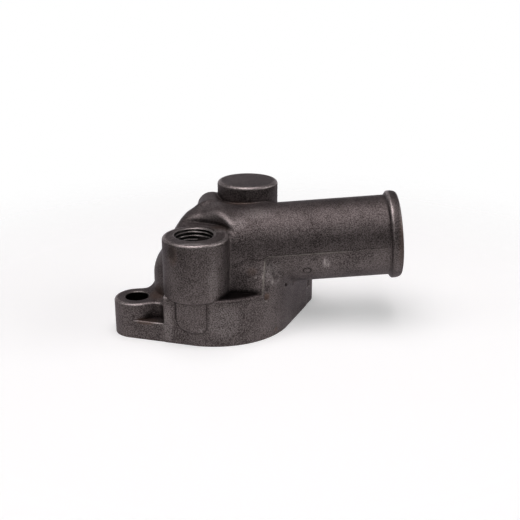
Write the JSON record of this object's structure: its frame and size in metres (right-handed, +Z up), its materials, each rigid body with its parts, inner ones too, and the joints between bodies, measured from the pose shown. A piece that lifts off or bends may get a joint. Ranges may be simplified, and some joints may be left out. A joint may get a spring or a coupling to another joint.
{
  "type": "thermostat housing",
  "caption": "Cast coolant outlet housing: a round chamber on a flange with bolt ears, a threaded boss for a sensor, and an elbow to a beaded hose neck.",
  "frame": {"origin": "middle of the housing's length and width, on the joint face", "axes": "+X from the chamber towards the hose neck's open end, +Z up, away from the joint face"},
  "size_m": [0.1132, 0.0621, 0.0531],
  "materials": {
    "cast_metal": "as cast, dull grey brown"
  },
  "bodies": {
    "root": {"outlet_housing": "cast_metal"}
  },
  "joints": []
}
